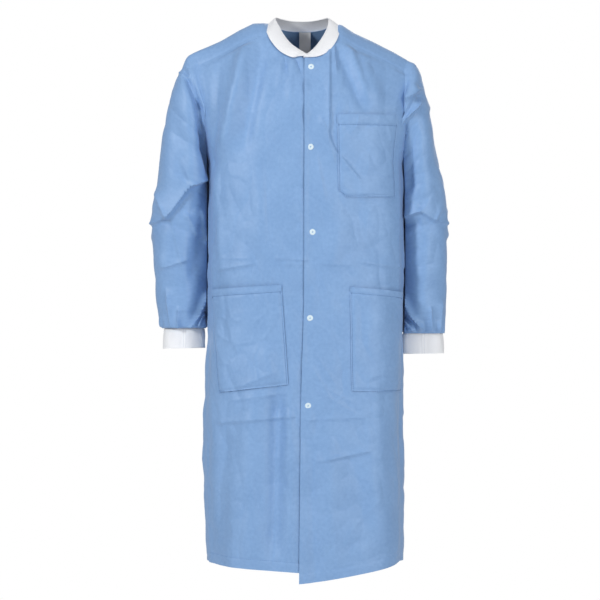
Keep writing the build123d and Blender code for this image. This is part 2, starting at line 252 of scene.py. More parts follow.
# every fold is: start x, start z, end x, end z, width, height, shape, and the share over which its ends fade
FRONT_FOLD_STRENGTH = 1.35
FRONT_FOLDS = (
    # the wearer's right chest: one broad soft ridge down from the shoulder, and gathers under the collar
    (-112, -45, -154, -235, 15, 11.0, "ridge", 0.35),
    (-80, -60, -114, -225, 14, -7.0, "ridge", 0.4),
    (-166, -90, -178, -300, 9, -3.0, "ridge", 0.4),
    (-34, -54, -30, -96, 3.2, -2.8, "crease", 0.4),
    (-42, -60, -46, -120, 7, 2.4, "ridge", 0.5),
    (-10, -64, -1, -94, 3.2, -2.6, "crease", 0.4),
    (-22, -66, -24, -140, 8, 2.6, "ridge", 0.5),
    # the wearer's left chest: a pleat that falls from the collar, and slanting hollows above the pocket
    (53, -205, 54, -40, 9, 4.4, "lip", 0.25),
    (68, -88, 64, -40, 7, 3.6, "lip", 0.4),
    (92, -40, 126, -136, 9, 4.4, "ridge", 0.4),
    (74, -52, 122, -160, 12, -4.6, "ridge", 0.4),
    (118, -62, 150, -150, 15, 3.2, "ridge", 0.5),
    (66, -248, 39, -184, 9, 3.4, "lip", 0.3),
    (112, -302, 66, -248, 9, 3.0, "lip", 0.35),
    (64, -266, 50, -218, 7, 2.4, "lip", 0.4),
    (44, -330, 30, -262, 8, 2.0, "lip", 0.5),
    # creases kept from folding and packing
    (-162, -484, -94, -472, 9, 2.2, "lip", 0.25),
    (-156, -461, -100, -462, 6, 1.2, "lip", 0.3),
    (-50, -461, 8, -465, 7, 2.2, "lip", 0.2),
    (-36, -474, 2, -474, 6, 1.6, "lip", 0.3),
    (30, -472, 98, -475, 6, 1.1, "lip", 0.3),
    (118, -469, 200, -481, 8, 2.4, "lip", 0.25),
    (-166, -789, -18, -776, 9, 2.6, "lip", 0.12),
    (8, -783, 116, -778, 8, 1.7, "lip", 0.3),
    (40, -864, 128, -846, 12, 3.2, "lip", 0.3),
    # long folds that fall through the skirt
    (-48, -730, -54, -1030, 15, -10.0, "ridge", 0.35),
    (-24, -760, -22, -1040, 12, 3.4, "ridge", 0.4),
    (-100, -720, -112, -1070, 24, 5.0, "ridge", 0.5),
    (-150, -800, -158, -1050, 15, -3.6, "ridge", 0.5),
    (150, -620, 140, -1050, 26, 4.0, "ridge", 0.5),
    (96, -860, 150, -1060, 22, -4.2, "ridge", 0.5),
    (50, -840, 60, -1060, 22, 4.4, "ridge", 0.5),
    (20, -880, 24, -1090, 9, -2.2, "ridge", 0.5),
    (62, -704, 26, -650, 7, 1.3, "lip", 0.5),
    (56, -738, 22, -680, 7, 1.5, "lip", 0.5),
    (92, -742, 20, -706, 7, 1.3, "lip", 0.5),
    (100, -766, 30, -722, 7, 1.5, "lip", 0.5),
    (-70, -640, -58, -700, 16, 4.2, "ridge", 0.5),
    (-130, -722, -60, -690, 9, 1.8, "lip", 0.4),
    (-130, -744, -40, -730, 8, 1.8, "lip", 0.4),
    (-120, -230, -20, -330, 28, -3.4, "ridge", 0.5),
    (-96, -250, -70, -450, 24, 3.0, "ridge", 0.5),
    (-168, -300, -160, -470, 8, 3.2, "ridge", 0.4),
    (100, -360, 160, -460, 24, -3.4, "ridge", 0.5),
    (70, -400, 60, -470, 20, 3.0, "ridge", 0.5),
)


def loose_cloth(u, z, seed):
    """The unevenness that all of the coat's cloth has: slow waves that grow towards the hem, and small creases."""
    low = smooth(-450, -1050, z)
    waves = (2.0 + 2.8 * low) * field(u, z * 0.22, 62, seed)
    middle = 3.0 * crumple(u, z * 0.45, 44, seed + 1)
    slanting = 2.0 * crumple(u + 0.4 * z, z * 0.8 - 0.3 * u, 36, seed + 4)
    return waves + middle + slanting + 0.3 * field(u, z, 13, seed + 2) + 0.5 * creases(u, z * 0.7, 48, seed + 3)


def surface_normals(grid):
    """Unit normals of a grid of points, facing outwards for rows that run down and columns that run to the left."""
    down = np.gradient(grid, axis=0)
    across = np.gradient(grid, axis=1)
    normal = np.cross(across, down)
    return normal / np.maximum(np.linalg.norm(normal, axis=-1, keepdims=True), 1e-9)


def outwards(grid, normal):
    """Turns the normals so that they face away from the body's middle line."""
    middle = np.array([0.0, CENTRE_Y, 0.0])
    away = grid - middle
    away[..., 2] = 0
    sign = np.sign(np.sum(away * normal, axis=-1).mean())
    return normal * sign


# ---- meshes from grids


def quads(corner):
    """The faces between a grid's numbered corners."""
    around = [corner[:-1, :-1], corner[:-1, 1:], corner[1:, 1:], corner[1:, :-1]]
    return np.stack(around, axis=-1).reshape(-1, 4)


def in_scene(name, data):
    """A new object with this mesh, light or camera."""
    made = bpy.data.objects.new(name, data)
    bpy.context.scene.collection.objects.link(made)
    return made


def sheet_mesh(name, grid, flat, thickness, closed=False):
    """A closed skin of cloth: `grid` is its outer face and `flat` the same points on the uncut cloth, in mm."""
    rows, columns = grid.shape[:2]
    normal = grid_normals(grid, closed)
    inner = grid - normal * thickness
    points = np.concatenate([grid.reshape(-1, 3), inner.reshape(-1, 3)]) * MM
    flats = np.concatenate([flat.reshape(-1, 2), flat.reshape(-1, 2)]) * MM
    offset = rows * columns
    corner = np.arange(offset).reshape(rows, columns)
    if closed:
        corner = np.concatenate([corner, corner[:, :1]], axis=1)
    outer = quads(corner)
    faces = [outer, outer[:, ::-1] + offset]
    borders = [corner[0, ::-1], corner[-1]]
    if not closed:
        borders += [corner[:, 0], corner[::-1, -1]]
    for line in borders:
        faces.append(np.stack([line[1:], line[:-1], line[:-1] + offset, line[1:] + offset], axis=-1))
    mesh = bpy.data.meshes.new(name)
    mesh.from_pydata(points.tolist(), [], np.concatenate(faces).tolist())
    uv = mesh.uv_layers.new(name="cloth")
    loops = np.empty(len(mesh.loops), dtype=np.int32)
    mesh.loops.foreach_get("vertex_index", loops)
    uv.data.foreach_set("uv", flats[loops].ravel())
    mesh.validate()
    made = bmesh.new()
    made.from_mesh(mesh)
    bmesh.ops.recalc_face_normals(made, faces=made.faces)
    made.to_mesh(mesh)
    made.free()
    mesh.polygons.foreach_set("use_smooth", [True] * len(mesh.polygons))
    mesh.set_sharp_from_angle(angle=math.radians(62))
    return in_scene(name, mesh)


def grid_normals(grid, closed=False):
    """Outward unit normals of a grid; a closed grid's columns run all the way round."""
    if closed:
        wrapped = np.concatenate([grid[:, -2:], grid, grid[:, :2]], axis=1)
        normal = np.cross(np.gradient(wrapped, axis=1), np.gradient(wrapped, axis=0))[:, 2:-2]
    else:
        normal = np.cross(np.gradient(grid, axis=1), np.gradient(grid, axis=0))
    return normal / np.maximum(np.linalg.norm(normal, axis=-1, keepdims=True), 1e-9)


# ---- materials


def linear(colour):
    """An sRGB hex colour as linear RGBA."""
    parts = [int(colour[i : i + 2], 16) / 255 for i in (1, 3, 5)]
    return [c / 12.92 if c <= 0.04045 else ((c + 0.055) / 1.055) ** 2.4 for c in parts] + [1.0]


def node(tree, kind, settings=None, **links):
    """Adds a node, with settings for its properties or numbered and named inputs, and links into its inputs."""
    made = tree.nodes.new(kind)
    for key, value in (settings or {}).items():
        if isinstance(key, int) or key in made.inputs:
            made.inputs[key].default_value = value
        else:
            setattr(made, key, value)
    for key, source in links.items():
        numbered = key[0] == "i" and key[1:].isdigit()
        target = made.inputs[int(key[1:]) if numbered else key.replace("_", " ")]
        tree.links.new(source, target)
    return made


def new_material(name):
    """An empty material with its output and one Principled shader."""
    material = bpy.data.materials.new(name)
    material.use_nodes = True
    tree = material.node_tree
    tree.nodes.clear()
    shader = node(tree, "ShaderNodeBsdfPrincipled")
    node(tree, "ShaderNodeOutputMaterial", i0=shader.outputs[0])
    return material, tree, shader


def spunbond_material():
    """Blue SMS polypropylene non-woven: fine filaments laid at random and pressed together at small bond points.

    It looks matt and slightly cloudy, because the filaments lie thicker in some places than in others, and light
    passes through it a little. Real bond points are 0.7 mm across and 1.8 mm apart.
    """
    material, tree, shader = new_material("spunbond polypropylene, thermally point-bonded")
    uv = node(tree, "ShaderNodeUVMap", {"uv_map": "cloth"}).outputs[0]
    cloudy = node(tree, "ShaderNodeTexNoise", {"Scale": 140.0, "Detail": 4.0, "Roughness": 0.6}, Vector=uv)
    broad = node(tree, "ShaderNodeTexNoise", {"Scale": 14.0, "Detail": 3.0}, Vector=uv)
    both = node(tree, "ShaderNodeMix", {"data_type": "FLOAT", 0: 0.4}, i2=cloudy.outputs[0], i3=broad.outputs[0])
    ramp = node(tree, "ShaderNodeValToRGB", i0=both.outputs[0])
    ramp.color_ramp.elements[0].position, ramp.color_ramp.elements[0].color = 0.3, linear(CLOTH_THICK)
    ramp.color_ramp.elements[1].position, ramp.color_ramp.elements[1].color = 0.7, linear(CLOTH_THIN)
    tree.links.new(ramp.outputs[0], shader.inputs["Base Color"])
    shader.inputs["Roughness"].default_value = 0.52
    shader.inputs["IOR"].default_value = 1.49
    shader.inputs["Specular IOR Level"].default_value = 0.5
    shader.inputs["Sheen Weight"].default_value = 0.18
    shader.inputs["Sheen Roughness"].default_value = 0.5
    bonds = node(tree, "ShaderNodeTexVoronoi", {"Scale": 555.0, "Randomness": 0.15}, Vector=uv)
    dot = node(tree, "ShaderNodeMapRange", {1: 0.2, 2: 0.42}, i0=bonds.outputs["Distance"])
    fibres = node(tree, "ShaderNodeTexNoise", {"Scale": 900.0, "Detail": 5.0, "Distortion": 1.2}, Vector=uv)
    rough = node(tree, "ShaderNodeMix", {"data_type": "FLOAT", 0: 0.55}, i2=dot.outputs[0], i3=fibres.outputs[0])
    small = node(tree, "ShaderNodeBump", {"Strength": 0.35, "Distance": 0.00012}, Height=rough.outputs[0])
    soft = node(tree, "ShaderNodeTexNoise", {"Scale": 55.0, "Detail": 4.0, "Roughness": 0.55}, Vector=uv)
    bump = node(tree, "ShaderNodeBump", {"Strength": 0.3, "Distance": 0.0008}, Height=soft.outputs[0],
                Normal=small.outputs[0])
    tree.links.new(bump.outputs[0], shader.inputs["Normal"])
    return material


CLOTH_THICK = "#7095c3"
CLOTH_THIN = "#80a4d0"


def rib_material():
    """White cotton-polyester 1x1 rib knit: rows of small stitches in ridges, soft and matt.

    Real ribs are about 1.1 mm apart; these are 1.7 mm apart so that they still show.
    """
    material, tree, shader = new_material("cotton and polyester 1x1 rib knit")
    uv = node(tree, "ShaderNodeUVMap", {"uv_map": "cloth"}).outputs[0]
    ribs = node(tree, "ShaderNodeTexWave", {"wave_type": "BANDS", "bands_direction": "X", "Scale": 185.0,
                                            "Distortion": 0.25, "Detail": 1.0}, Vector=uv)
    rows = node(tree, "ShaderNodeTexWave", {"wave_type": "BANDS", "bands_direction": "Y", "Scale": 330.0,
                                            "Distortion": 0.6}, Vector=uv)
    both = node(tree, "ShaderNodeMix", {"data_type": "FLOAT", 0: 0.25}, i2=ribs.outputs[1], i3=rows.outputs[1])
    ramp = node(tree, "ShaderNodeValToRGB", i0=both.outputs[0])
    ramp.color_ramp.elements[0].position, ramp.color_ramp.elements[0].color = 0.15, linear("#dadde4")
    ramp.color_ramp.elements[1].position, ramp.color_ramp.elements[1].color = 0.6, linear("#fafbfd")
    tree.links.new(ramp.outputs[0], shader.inputs["Base Color"])
    shader.inputs["Roughness"].default_value = 0.85
    shader.inputs["Sheen Weight"].default_value = 0.25
    bump = node(tree, "ShaderNodeBump", {"Strength": 0.8, "Distance": 0.0006}, Height=both.outputs[0])
    tree.links.new(bump.outputs[0], shader.inputs["Normal"])
    return material


def plain_material(name, colour, roughness, bump_scale, bump_height, ior=1.49):
    """A material of one colour with a fine uneven surface; callers say what it stands for."""
    material, tree, shader = new_material(name)
    shader.inputs["Roughness"].default_value = roughness
    shader.inputs["IOR"].default_value = ior
    place = node(tree, "ShaderNodeTexCoord").outputs["Object"]
    noise = node(tree, "ShaderNodeTexNoise", {"Scale": bump_scale, "Detail": 3.0}, Vector=place)
    ramp = node(tree, "ShaderNodeValToRGB", i0=noise.outputs[0])
    low = [c * 0.93 for c in linear(colour)[:3]] + [1.0]
    ramp.color_ramp.elements[0].color, ramp.color_ramp.elements[1].color = low, linear(colour)
    tree.links.new(ramp.outputs[0], shader.inputs["Base Color"])
    bump = node(tree, "ShaderNodeBump", {"Strength": 0.3, "Distance": bump_height}, Height=noise.outputs[0])
    tree.links.new(bump.outputs[0], shader.inputs["Normal"])
    return material


SPUNBOND = spunbond_material()
RIB = rib_material()
SNAP = plain_material("injection-moulded acetal, smooth", "#d3e4ec", 0.32, 900.0, 0.00003, 1.48)
LABEL = plain_material("woven satin polyester tape", "#c9ccd2", 0.45, 1600.0, 0.00005)
PALE_THREAD = plain_material("spun polyester thread, sky blue", "#7396c4", 0.7, 2500.0, 0.00005)
THREAD = plain_material("spun polyester thread", "#47699c", 0.7, 2500.0, 0.00005)


def finish_piece(piece, material):
    """Gives a piece its material."""
    piece.data.materials.append(material)


# ---- fronts

ROWS_ABOVE, ROWS_BELOW = 76, 400
SEED = {"fronts": 11, "back": 53}
HEM_DEPTH = 20.0


def edge_x(z):
    """The left front's edge."""
    return np.interp(z, (-1110, -764, -544, -60), (-6, -2.4, 4, 5))


def front_grid(side):
    """One front as a grid: rows run down from the neck or shoulder seam, columns from its edge to its side."""
    sign = 1 if side == "left" else -1
    columns = 112 if side == "left" else 140
    share = np.linspace(0, 1, columns)
    edge_hem, side_hem = HEM[side]
    grid = np.zeros((ROWS_ABOVE + ROWS_BELOW, columns, 3))
    flat = np.zeros((ROWS_ABOVE + ROWS_BELOW, columns, 2))

    def places(z):
        first = edge_x(z) if side == "left" else -UNDERLAP_X
        last = SEAM + (FRONT_ARMHOLE - SEAM) * smooth(UNDERARM_Z - 10, UNDERARM_Z + 45, z)
        return first, last

    for c, s in enumerate(share):
        hem = edge_hem + (side_hem - edge_hem) * s**HEM_CURVE[side]
        # below the chest
        z = np.linspace(CHEST_Z, hem, ROWS_BELOW)
        first, last = places(z)
        place = first + (last - first) * s
        line = body(sign * place if side == "left" else -place, z)
        grid[ROWS_ABOVE:, c] = line
        flat[ROWS_ABOVE:, c] = np.stack([place, z], axis=-1)
        # above it
        first, last = places(CHEST_Z + 60)
        place = float(first + (last - first) * s) * (1 if side == "left" else -1)
        foot_x = body(place, CHEST_Z)[0]
        seam_top = float(ridge_height(np.array(foot_x))) - SHOULDER_SEAM_DROP
        top = min(float(neckline(foot_x)), seam_top)
        t = np.linspace(0, 1, 160) ** 1.6
        z = top + (CHEST_Z - top) * t
        first, last = places(z)
        above = (first + (last - first) * s) * (1 if side == "left" else -1)
        line = resample(body(above, z), ROWS_ABOVE + 1)[:-1]
        grid[:ROWS_ABOVE, c] = line
        flat[:ROWS_ABOVE, c] = np.stack([np.full(ROWS_ABOVE, abs(place)), line[:, 2]], axis=-1)
    normal = outwards(grid, surface_normals(grid))
    x, z = grid[..., 0], grid[..., 2]
    lift = FRONT_FOLD_STRENGTH * add_folds(x, z, FRONT_FOLDS)
    lift = lift + loose_cloth(sign * flat[..., 0] + 700, z, SEED["fronts"])
    # the hem is folded up once and stitched
    above_hem = z - (edge_hem + (side_hem - edge_hem) * share[None] ** HEM_CURVE[side])
    lift = lift + 0.4 * smooth(HEM_DEPTH, HEM_DEPTH - 3, above_hem)
    lift = lift - 0.45 * np.exp(-(((above_hem - HEM_DEPTH) / 2.0) ** 2))
    # folds die out at the side seams, the armholes and the neck, where the cloth is held
    held = smooth(0, 22, np.abs(np.abs(flat[..., 0]) - SEAM))
    rows = np.arange(grid.shape[0])[:, None]
    held = held * smooth(3, 11, rows)
    return grid, flat, normal, lift * held


LEFT_GRID, LEFT_FLAT, LEFT_NORMAL, LEFT_LIFT = front_grid("left")
RIGHT_GRID, RIGHT_FLAT, RIGHT_NORMAL, RIGHT_LIFT = front_grid("right")
LAP_STEP, LAP_STEP_AT_EDGE = 3.2, 1.2  # how far the right front lies behind the left one, and at its edge
# height, reach and depth of the places where the lapped edge stands off the front beneath it
GAPES = ((-122, 13, 3.6), (-174, 15, 3.2), (-320, 30, 1.2), (-500, 30, 1.0), (-670, 36, 1.0))

left_front_points = LEFT_GRID + LEFT_NORMAL * LEFT_LIFT[..., None]
edge = edge_x(RIGHT_GRID[..., 2])
behind = LAP_STEP_AT_EDGE * smooth(edge - 7, edge - 1, RIGHT_GRID[..., 0])
behind = behind + (LAP_STEP - LAP_STEP_AT_EDGE) * smooth(edge - 1, edge + 9, RIGHT_GRID[..., 0])
right_front_points = RIGHT_GRID + RIGHT_NORMAL * (RIGHT_LIFT - behind)[..., None]

# the left front's edge is folded back on itself, so it is a little thicker and rounder there
edge_distance = LEFT_GRID[..., 0] - edge_x(LEFT_GRID[..., 2])
stand_off = sum(h * np.exp(-(((LEFT_GRID[..., 2] - z) / reach) ** 2)) for z, reach, h in GAPES)
left_front_points = left_front_points + LEFT_NORMAL * (stand_off * smooth(16.0, 0.0, edge_distance))[..., None]
left_front_points = left_front_points + LEFT_NORMAL * (0.7 * smooth(9.0, 5.0, edge_distance))[..., None]

for side, points, flat in (("left", left_front_points, LEFT_FLAT), ("right", right_front_points, RIGHT_FLAT)):
    front = sheet_mesh(f"{side}_front", points, flat, CLOTH_THICKNESS)
    finish_piece(front, SPUNBOND)
    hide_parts(f"{side}_front_yoke", f"{side}_front_skirt")
    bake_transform(front)

# ---- back


BACK_FOLDS = (
    (-60, -120, -95, -900, 26, 4.0, "ridge", 0.5),
    (70, -160, 96, -1000, 30, 4.2, "ridge", 0.5),
    (0, -300, 6, -1060, 34, -4.5, "ridge", 0.5),
    (-170, -130, -60, -260, 16, 3.2, "ridge", 0.4),
    (170, -130, 70, -240, 16, 3.2, "ridge", 0.4),
    (-250, -475, 250, -480, 7, 1.7, "step", 0.1),
    (-250, -780, 250, -776, 7, 1.5, "step", 0.1),
)
BACK_FLAT_HALF = 290.0  # half the width of the back's uncut cloth


def back_grid():
    """The back as a grid: rows run down from the shoulder seams, columns from the right side seam to the left."""
    columns, above, below = 210, 80, 330
    over_ridge = 14  # rows that run over the shoulder ridge to the seam
    share = np.linspace(-1, 1, columns)
    grid = np.zeros((above + below, columns, 3))
    flat = np.zeros((above + below, columns, 2))

    def place(s, z):
        end = SEAM + (BACK_ARMHOLE - SEAM) * smooth(UNDERARM_Z - 10, UNDERARM_Z + 45, z)
        return np.sign(s) * (BACK_MIDDLE - np.abs(s) * (BACK_MIDDLE - end))

    ends = {}
    for sign, front in ((1, left_front_points), (-1, right_front_points)):
        seam = front[0][sign * front[0][:, 0] > BACK_NECK_HALF - 6]
        back_end = abs(body(sign * BACK_ARMHOLE, -50.0)[0])
        ends[sign] = (seam[np.argsort(np.abs(seam[:, 0]))], back_end)
    for c, s in enumerate(share):
        z = np.linspace(CHEST_Z, BACK_HEM_Z, below)
        line = body(place(s, z), z)
        grid[above:, c] = line
        flat[above:, c] = np.stack([np.full(below, s * BACK_FLAT_HALF), z], axis=-1)
        up = np.linspace(1, 0, 200) ** 1.8
        foot = body(place(s, -120.0), CHEST_Z)
        x = foot[0]
        ridge = float(ridge_height(np.array(x)))
        z = ridge + (CHEST_Z - ridge) * up
        line = body(place(s, z), z)
        if abs(x) < BACK_NECK_HALF:
            neck = BACK_NECK_Z + (ridge - BACK_NECK_Z) * (abs(x) / BACK_NECK_HALF) ** 3
            line = line[line[:, 2] < neck]
            top_line = resample(line, 400)
            lengths = distance_along(top_line)
            near = lengths[-1] - 0.5 * np.arange(over_ridge, -1, -1)
            over = np.stack([np.interp(near, lengths, top_line[:, k]) for k in range(3)], axis=-1)
            rest = np.linspace(0, near[0], above - over_ridge + 1)
            line = np.stack([np.interp(rest, lengths, top_line[:, k]) for k in range(3)], axis=-1)
            line = np.concatenate([line[:-1], over])
        else:
            # over the ridge to the shoulder seam, where it laps over the front
            seam, back_end = ends[1 if x > 0 else -1]
            reach = np.clip((abs(line[-1, 0]) - BACK_NECK_HALF) / (back_end - BACK_NECK_HALF), 0, 1)
            at = np.abs(seam[:, 0])
            aim_x = at[0] + (at[-1] - at[0]) * reach
            aim = np.array([np.interp(aim_x, at, seam[:, k]) for k in range(3)])
            t = np.linspace(0, 1, 60)[1:, None] ** 1.6
            over = line[-1] + (aim - line[-1]) * np.concatenate([t, t**0.55, t], axis=1)
            over[:, 1] -= 1.0 * smooth(0.5, 0.95, t[:, 0])
            over[:, 2] -= 2.0 * smooth(0.8, 1.0, t[:, 0])
            over = resample(np.concatenate([line[-1:], over]), over_ridge + 1)
            line = np.concatenate([resample(line, above - over_ridge + 1)[:-1], over])
        line = line[::-1][:-1]
        grid[:above, c] = line
        flat[:above, c] = np.stack([np.full(above, s * BACK_FLAT_HALF), CHEST_Z + np.linspace(230, 4, above)], axis=-1)
    normal = outwards(grid, surface_normals(grid))
    u, z = flat[..., 0], grid[..., 2]
    lift = loose_cloth(u, z, SEED["back"]) * 1.2
    lift = lift + add_folds(u, z, BACK_FOLDS)
    rows = np.arange(grid.shape[0])[:, None]
    held = smooth(0, 22, BACK_FLAT_HALF - np.abs(u)) * smooth(over_ridge, over_ridge + 12, rows)
    return grid + normal * (lift * held)[..., None], flat


back_points, back_flat = back_grid()
back = sheet_mesh("back", back_points, back_flat, CLOTH_THICKNESS)
finish_piece(back, SPUNBOND)
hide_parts("back_panel")
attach(back, "torso")

# ---- sleeves

SLEEVE_COLUMNS = 168
SLEEVE_CLEARANCE = 5.0
SLEEVE_LENGTH, SLEEVE_GIRTH = 610.0, 300.0  # the uncut cloth that the sleeves' weave is measured on
SLEEVE_DRAWN_BACK = 38.0
SPLIT_SHARE = 0.40  # the sleeve's mesh is cut here


def armhole(sign):
    """The armhole's edge as a ring of points that starts at the top and runs down the front first."""
    front = left_front_points if sign > 0 else right_front_points
    edge = front[:, -1]
    edge = edge[edge[:, 2] > UNDERARM_Z - 12]
    back_edge = back_points[:, -1] if sign > 0 else back_points[:, 0]
    back_edge = back_edge[back_edge[:, 2] > UNDERARM_Z - 12]
    # the back's edge starts at the shoulder seam, in front of the ridge
    ring = np.concatenate([edge, back_edge[::-1]])
    ring = np.concatenate([ring, ring[:1]])
    ring = resample(ring, SLEEVE_COLUMNS * 4 + 1)[:-1]
    top = int(np.argmax(ring[:, 2]))
    ring = np.roll(ring, -top, axis=0)
    return resample(np.concatenate([ring, ring[:1]]), SLEEVE_COLUMNS + 1)[:-1]


# the sleeve's outer and inner lines seen from the front, its depth and its middle from front to back
SLEEVE_LINES = {
    "left": (
        # share, outer x, outer z, inner x, inner z, half depth, middle y
        (0.00, 198, -58, 198, -208, 48, 0),
        (0.05, 222, -72, 192, -212, 50, 0),
        (0.11, 238, -94, 190, -222, 52, 1),
        (0.20, 248, -146, 186, -246, 52, 3),
        (0.30, 262, -212, 183, -286, 52, 7),
        (0.40, 275, -276, 182, -330, 51, 12),
        (0.50, 286, -342, 182, -380, 49, 17),
        (0.60, 292, -408, 182, -428, 46, 21),
        (0.72, 291, -480, 184, -488, 43, 22),
        (0.85, 287, -548, 190, -552, 39, 22),
        (0.95, 287, -592, 200, -593, 31, 22),
        (1.00, 288, -611, 202, -611, 25.5, 22),
    ),
    "right": (
        (0.00, 208, -60, 196, -208, 48, 0),
        (0.05, 232, -72, 190, -212, 50, 0),
        (0.11, 248, -92, 186, -222, 52, 1),
        (0.20, 262, -146, 178, -246, 52, 3),
        (0.30, 276, -212, 174, -286, 52, 7),
        (0.40, 286, -276, 172, -330, 51, 12),
        (0.50, 296, -342, 172, -380, 49, 17),
        (0.60, 301, -408, 172, -428, 46, 21),
        (0.72, 297, -480, 173, -488, 43, 22),
        (0.85, 292, -548, 178, -552, 39, 22),
        (0.95, 286, -586, 190, -587, 31, 22),
        (1.00, 282, -601, 194, -601, 25.5, 22),
    ),
}


# the sleeves' folds on the side that faces forward; x is measured outwards
SLEEVE_FOLD_STRENGTH = 1.25
SLEEVE_FOLDS = {
    "right": (
        # the deep fold beside the armhole
        (236, -84, 206, -160, 7, -10.0, "ridge", 0.3),
        (206, -160, 190, -296, 8, -10.0, "ridge", 0.3),
        (226, -100, 248, -86, 12, 5.0, "lip", 0.4),
        (232, -160, 214, -292, 16, 5.0, "ridge", 0.4),
        (268, -130, 262, -330, 18, 3.0, "ridge", 0.4),
        # the elbow, bent over itself
        (178, -294, 223, -313, 22, 11.0, "lip", 0.2),
        (223, -313, 266, -378, 20, 10.0, "lip", 0.2),
        (266, -378, 302, -393, 16, 8.0, "lip", 0.2),
        (266, -378, 292, -330, 16, 4.5, "lip", 0.4),
        (212, -416, 234, -372, 9, 5.0, "lip", 0.3),
        (196, -430, 204, -366, 8, 5.0, "lip", 0.3),
        (240, -480, 262, -380, 14, 3.0, "lip", 0.5),
        (230, -464, 278, -480, 14, 4.0, "lip", 0.35),
        (282, -480, 262, -384, 14, 3.0, "ridge", 0.5),
        (222, -500, 206, -400, 12, -5.0, "ridge", 0.5),
        # gathers above the cuff
        (228, -604, 198, -530, 15, 9.0, "lip", 0.2),
        (250, -604, 248, -560, 7, 4.5, "lip", 0.3),
        (262, -604, 272, -530, 9, 5.0, "lip", 0.3),
        (212, -606, 206, -570, 7, 4.0, "lip", 0.3),
    ),
    "left": (
        # pleats that fall from the armhole
        (198, -154, 232, -124, 13, 8.0, "lip", 0.3),
        (198, -196, 234, -150, 14, 9.0, "lip", 0.3),
        (206, -176, 238, -132, 7, -5.0, "ridge", 0.3),
        (220, -200, 214, -320, 13, -7.0, "ridge", 0.4),
        (240, -190, 250, -340, 16, 4.0, "ridge", 0.4),
        # the elbow
        (204, -382, 236, -365, 20, 8.0, "lip", 0.25),
        (236, -365, 264, -384, 18, 7.0, "lip", 0.2),
        (264, -384, 290, -392, 16, 6.0, "lip", 0.3),
        (204, -396, 236, -386, 9, -5.0, "ridge", 0.3),
        (250, -430, 244, -560, 16, 3.0, "ridge", 0.5),
        # gathers above the cuff
        (242, -600, 204, -524, 18, 10.0, "lip", 0.2),
        (224, -606, 204, -576, 9, 6.0, "lip", 0.25),
        (262, -606, 258, -560, 7, 4.5, "lip", 0.3),
        (276, -606, 280, -550, 8, 4.5, "lip", 0.3),
    ),
}
# slanting folds at the back of the elbow and the underarm
SLEEVE_BACK_FOLDS = (
    (200, -360, 290, -420, 9, 4.5, "step", 0.3),
    (200, -410, 290, -372, 9, 4.0, "step", 0.3),
    (196, -230, 256, -160, 9, 4.0, "step", 0.3),
)


